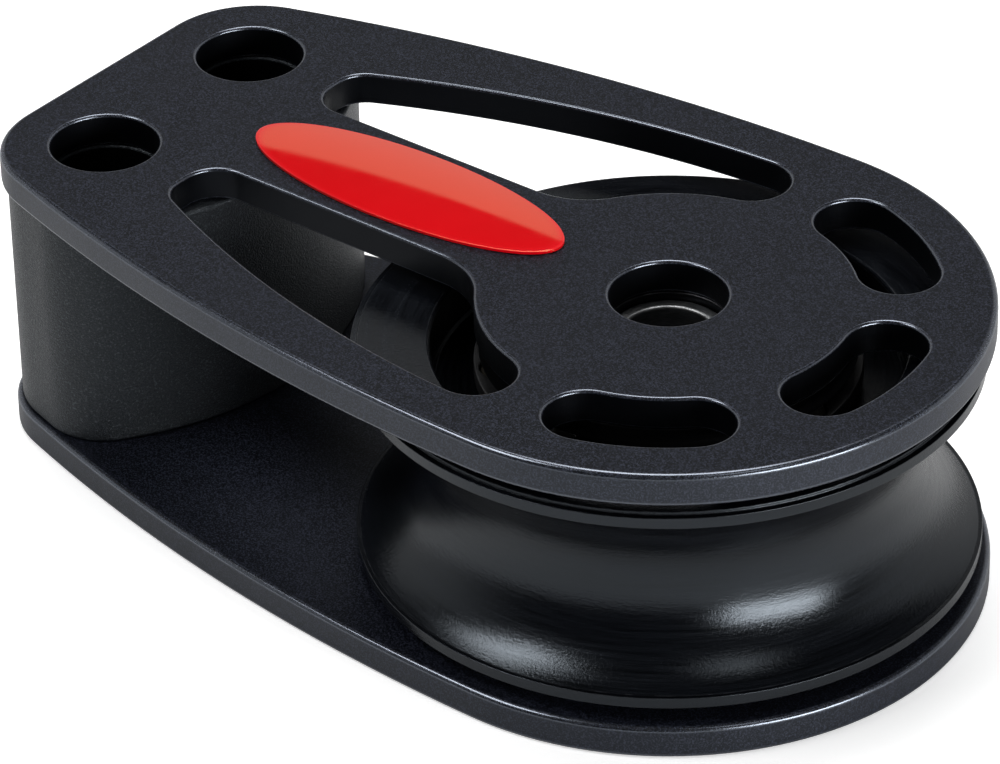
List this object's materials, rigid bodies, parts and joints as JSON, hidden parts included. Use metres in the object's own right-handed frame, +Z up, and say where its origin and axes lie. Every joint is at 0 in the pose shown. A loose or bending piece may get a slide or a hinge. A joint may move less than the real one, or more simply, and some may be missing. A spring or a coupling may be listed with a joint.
{
  "type": "single sheave foot block",
  "caption": "Low deck-mounted turning block: a grooved sheave on a roller bearing between two teardrop plates, bolted down at the heel and through the axle.",
  "frame": {"origin": "middle of the bounding box at the deck face (z = 0); the sheave axis stands at x = +0.0247 m", "axes": "+X to the round sheave end, heel toward -X, +Z up from the deck along the sheave axis"},
  "size_m": [0.1254, 0.076, 0.0399],
  "materials": {
    "anodised_plate": "satin black hard anodising with a fine blasted grain",
    "blasted_spacer": "coarse blasted black anodising",
    "badge_resin": "domed clear resin over plain red, no lettering",
    "turned_sheave": "black anodising over fine turning marks",
    "race_steel": "blackened hardened steel",
    "bush_steel": "turned stainless steel",
    "washer_steel": "blackened steel",
    "cage_acetal": "black acetal",
    "bearing_polymer": "very dark brown bearing polymer"
  },
  "bodies": {
    "frame": {"base_plate": "anodised_plate", "top_plate": "anodised_plate", "heel_spacer": "blasted_spacer", "badge": "badge_resin", "inner_race": "race_steel", "axle_bush": "bush_steel", "lower_thrust_washer": "washer_steel", "upper_thrust_washer": "washer_steel"},
    "sheave": {"sheave": "turned_sheave"},
    "roller_cage": {"roller_cage": "cage_acetal"},
    "roller_01": {"roller_01": "bearing_polymer"},
    "roller_02": {"roller_02": "bearing_polymer"},
    "roller_03": {"roller_03": "bearing_polymer"},
    "roller_04": {"roller_04": "bearing_polymer"},
    "roller_05": {"roller_05": "bearing_polymer"},
    "roller_06": {"roller_06": "bearing_polymer"},
    "roller_07": {"roller_07": "bearing_polymer"},
    "roller_08": {"roller_08": "bearing_polymer"},
    "roller_09": {"roller_09": "bearing_polymer"},
    "roller_10": {"roller_10": "bearing_polymer"},
    "roller_11": {"roller_11": "bearing_polymer"},
    "roller_12": {"roller_12": "bearing_polymer"},
    "lower_ball_cage": {"lower_ball_cage": "cage_acetal"},
    "lower_ball_01": {"lower_ball_01": "bearing_polymer"},
    "lower_ball_02": {"lower_ball_02": "bearing_polymer"},
    "lower_ball_03": {"lower_ball_03": "bearing_polymer"},
    "lower_ball_04": {"lower_ball_04": "bearing_polymer"},
    "lower_ball_05": {"lower_ball_05": "bearing_polymer"},
    "lower_ball_06": {"lower_ball_06": "bearing_polymer"},
    "lower_ball_07": {"lower_ball_07": "bearing_polymer"},
    "lower_ball_08": {"lower_ball_08": "bearing_polymer"},
    "upper_ball_cage": {"upper_ball_cage": "cage_acetal"},
    "upper_ball_01": {"upper_ball_01": "bearing_polymer"},
    "upper_ball_02": {"upper_ball_02": "bearing_polymer"},
    "upper_ball_03": {"upper_ball_03": "bearing_polymer"},
    "upper_ball_04": {"upper_ball_04": "bearing_polymer"},
    "upper_ball_05": {"upper_ball_05": "bearing_polymer"},
    "upper_ball_06": {"upper_ball_06": "bearing_polymer"},
    "upper_ball_07": {"upper_ball_07": "bearing_polymer"},
    "upper_ball_08": {"upper_ball_08": "bearing_polymer"}
  },
  "joints": [
    {"name": "sheave_spin", "type": "hinge", "parent": "frame", "child": "sheave", "pos_m": [0.0247, 0, 0.0193], "axis": [0, 0, 1], "continuous": true},
    {"name": "roller_cage_orbit", "type": "hinge", "parent": "frame", "child": "roller_cage", "pos_m": [0.0247, 0, 0.0193], "axis": [0, 0, 1], "continuous": true},
    {"name": "roller_01_spin", "type": "hinge", "parent": "roller_cage", "child": "roller_01", "pos_m": [0.03825, 0, 0.0193], "axis": [0, 0, 1], "continuous": true},
    {"name": "roller_02_spin", "type": "hinge", "parent": "roller_cage", "child": "roller_02", "pos_m": [0.03643, 0.00677, 0.0193], "axis": [0, 0, 1], "continuous": true},
    {"name": "roller_03_spin", "type": "hinge", "parent": "roller_cage", "child": "roller_03", "pos_m": [0.03148, 0.01173, 0.0193], "axis": [0, 0, 1], "continuous": true},
    {"name": "roller_04_spin", "type": "hinge", "parent": "roller_cage", "child": "roller_04", "pos_m": [0.0247, 0.01355, 0.0193], "axis": [0, 0, 1], "continuous": true},
    {"name": "roller_05_spin", "type": "hinge", "parent": "roller_cage", "child": "roller_05", "pos_m": [0.01792, 0.01173, 0.0193], "axis": [0, 0, 1], "continuous": true},
    {"name": "roller_06_spin", "type": "hinge", "parent": "roller_cage", "child": "roller_06", "pos_m": [0.01297, 0.00677, 0.0193], "axis": [0, 0, 1], "continuous": true},
    {"name": "roller_07_spin", "type": "hinge", "parent": "roller_cage", "child": "roller_07", "pos_m": [0.01115, 0, 0.0193], "axis": [0, 0, 1], "continuous": true},
    {"name": "roller_08_spin", "type": "hinge", "parent": "roller_cage", "child": "roller_08", "pos_m": [0.01297, -0.00677, 0.0193], "axis": [0, 0, 1], "continuous": true},
    {"name": "roller_09_spin", "type": "hinge", "parent": "roller_cage", "child": "roller_09", "pos_m": [0.01792, -0.01173, 0.0193], "axis": [0, 0, 1], "continuous": true},
    {"name": "roller_10_spin", "type": "hinge", "parent": "roller_cage", "child": "roller_10", "pos_m": [0.0247, -0.01355, 0.0193], "axis": [0, 0, 1], "continuous": true},
    {"name": "roller_11_spin", "type": "hinge", "parent": "roller_cage", "child": "roller_11", "pos_m": [0.03148, -0.01173, 0.0193], "axis": [0, 0, 1], "continuous": true},
    {"name": "roller_12_spin", "type": "hinge", "parent": "roller_cage", "child": "roller_12", "pos_m": [0.03643, -0.00677, 0.0193], "axis": [0, 0, 1], "continuous": true},
    {"name": "lower_ball_cage_orbit", "type": "hinge", "parent": "frame", "child": "lower_ball_cage", "pos_m": [0.0247, 0, 0.00927], "axis": [0, 0, 1], "continuous": true},
    {"name": "lower_ball_01_roll", "type": "hinge", "parent": "lower_ball_cage", "child": "lower_ball_01", "pos_m": [0.0443, 0, 0.00927], "axis": [1, 0, 0], "continuous": true},
    {"name": "lower_ball_02_roll", "type": "hinge", "parent": "lower_ball_cage", "child": "lower_ball_02", "pos_m": [0.03856, 0.01386, 0.00927], "axis": [0.7071, 0.7071, 0], "continuous": true},
    {"name": "lower_ball_03_roll", "type": "hinge", "parent": "lower_ball_cage", "child": "lower_ball_03", "pos_m": [0.0247, 0.0196, 0.00927], "axis": [0, 1, 0], "continuous": true},
    {"name": "lower_ball_04_roll", "type": "hinge", "parent": "lower_ball_cage", "child": "lower_ball_04", "pos_m": [0.01084, 0.01386, 0.00927], "axis": [-0.7071, 0.7071, 0], "continuous": true},
    {"name": "lower_ball_05_roll", "type": "hinge", "parent": "lower_ball_cage", "child": "lower_ball_05", "pos_m": [0.0051, 0, 0.00927], "axis": [-1, 0, 0], "continuous": true},
    {"name": "lower_ball_06_roll", "type": "hinge", "parent": "lower_ball_cage", "child": "lower_ball_06", "pos_m": [0.01084, -0.01386, 0.00927], "axis": [-0.7071, -0.7071, 0], "continuous": true},
    {"name": "lower_ball_07_roll", "type": "hinge", "parent": "lower_ball_cage", "child": "lower_ball_07", "pos_m": [0.0247, -0.0196, 0.00927], "axis": [0, -1, 0], "continuous": true},
    {"name": "lower_ball_08_roll", "type": "hinge", "parent": "lower_ball_cage", "child": "lower_ball_08", "pos_m": [0.03856, -0.01386, 0.00927], "axis": [0.7071, -0.7071, 0], "continuous": true},
    {"name": "upper_ball_cage_orbit", "type": "hinge", "parent": "frame", "child": "upper_ball_cage", "pos_m": [0.0247, 0, 0.02933], "axis": [0, 0, 1], "continuous": true},
    {"name": "upper_ball_01_roll", "type": "hinge", "parent": "upper_ball_cage", "child": "upper_ball_01", "pos_m": [0.0443, 0, 0.02933], "axis": [1, 0, 0], "continuous": true},
    {"name": "upper_ball_02_roll", "type": "hinge", "parent": "upper_ball_cage", "child": "upper_ball_02", "pos_m": [0.03856, 0.01386, 0.02933], "axis": [0.7071, 0.7071, 0], "continuous": true},
    {"name": "upper_ball_03_roll", "type": "hinge", "parent": "upper_ball_cage", "child": "upper_ball_03", "pos_m": [0.0247, 0.0196, 0.02933], "axis": [0, 1, 0], "continuous": true},
    {"name": "upper_ball_04_roll", "type": "hinge", "parent": "upper_ball_cage", "child": "upper_ball_04", "pos_m": [0.01084, 0.01386, 0.02933], "axis": [-0.7071, 0.7071, 0], "continuous": true},
    {"name": "upper_ball_05_roll", "type": "hinge", "parent": "upper_ball_cage", "child": "upper_ball_05", "pos_m": [0.0051, 0, 0.02933], "axis": [-1, 0, 0], "continuous": true},
    {"name": "upper_ball_06_roll", "type": "hinge", "parent": "upper_ball_cage", "child": "upper_ball_06", "pos_m": [0.01084, -0.01386, 0.02933], "axis": [-0.7071, -0.7071, 0], "continuous": true},
    {"name": "upper_ball_07_roll", "type": "hinge", "parent": "upper_ball_cage", "child": "upper_ball_07", "pos_m": [0.0247, -0.0196, 0.02933], "axis": [0, -1, 0], "continuous": true},
    {"name": "upper_ball_08_roll", "type": "hinge", "parent": "upper_ball_cage", "child": "upper_ball_08", "pos_m": [0.03856, -0.01386, 0.02933], "axis": [0.7071, -0.7071, 0], "continuous": true}
  ],
  "couplings": [
    {"joint": "roller_cage_orbit", "follows": "sheave_spin", "ratio": 0.5941},
    {"joint": "roller_01_spin", "follows": "sheave_spin", "ratio": 2.614},
    {"joint": "roller_02_spin", "follows": "sheave_spin", "ratio": 2.614},
    {"joint": "roller_03_spin", "follows": "sheave_spin", "ratio": 2.614},
    {"joint": "roller_04_spin", "follows": "sheave_spin", "ratio": 2.614},
    {"joint": "roller_05_spin", "follows": "sheave_spin", "ratio": 2.614},
    {"joint": "roller_06_spin", "follows": "sheave_spin", "ratio": 2.614},
    {"joint": "roller_07_spin", "follows": "sheave_spin", "ratio": 2.614},
    {"joint": "roller_08_spin", "follows": "sheave_spin", "ratio": 2.614},
    {"joint": "roller_09_spin", "follows": "sheave_spin", "ratio": 2.614},
    {"joint": "roller_10_spin", "follows": "sheave_spin", "ratio": 2.614},
    {"joint": "roller_11_spin", "follows": "sheave_spin", "ratio": 2.614},
    {"joint": "roller_12_spin", "follows": "sheave_spin", "ratio": 2.614},
    {"joint": "lower_ball_cage_orbit", "follows": "sheave_spin", "ratio": 0.5},
    {"joint": "lower_ball_01_roll", "follows": "sheave_spin", "ratio": -4.1177},
    {"joint": "lower_ball_02_roll", "follows": "sheave_spin", "ratio": -4.1177},
    {"joint": "lower_ball_03_roll", "follows": "sheave_spin", "ratio": -4.1177},
    {"joint": "lower_ball_04_roll", "follows": "sheave_spin", "ratio": -4.1177},
    {"joint": "lower_ball_05_roll", "follows": "sheave_spin", "ratio": -4.1177},
    {"joint": "lower_ball_06_roll", "follows": "sheave_spin", "ratio": -4.1177},
    {"joint": "lower_ball_07_roll", "follows": "sheave_spin", "ratio": -4.1177},
    {"joint": "lower_ball_08_roll", "follows": "sheave_spin", "ratio": -4.1177},
    {"joint": "upper_ball_cage_orbit", "follows": "sheave_spin", "ratio": 0.5},
    {"joint": "upper_ball_01_roll", "follows": "sheave_spin", "ratio": 4.1177},
    {"joint": "upper_ball_02_roll", "follows": "sheave_spin", "ratio": 4.1177},
    {"joint": "upper_ball_03_roll", "follows": "sheave_spin", "ratio": 4.1177},
    {"joint": "upper_ball_04_roll", "follows": "sheave_spin", "ratio": 4.1177},
    {"joint": "upper_ball_05_roll", "follows": "sheave_spin", "ratio": 4.1177},
    {"joint": "upper_ball_06_roll", "follows": "sheave_spin", "ratio": 4.1177},
    {"joint": "upper_ball_07_roll", "follows": "sheave_spin", "ratio": 4.1177},
    {"joint": "upper_ball_08_roll", "follows": "sheave_spin", "ratio": 4.1177}
  ]
}
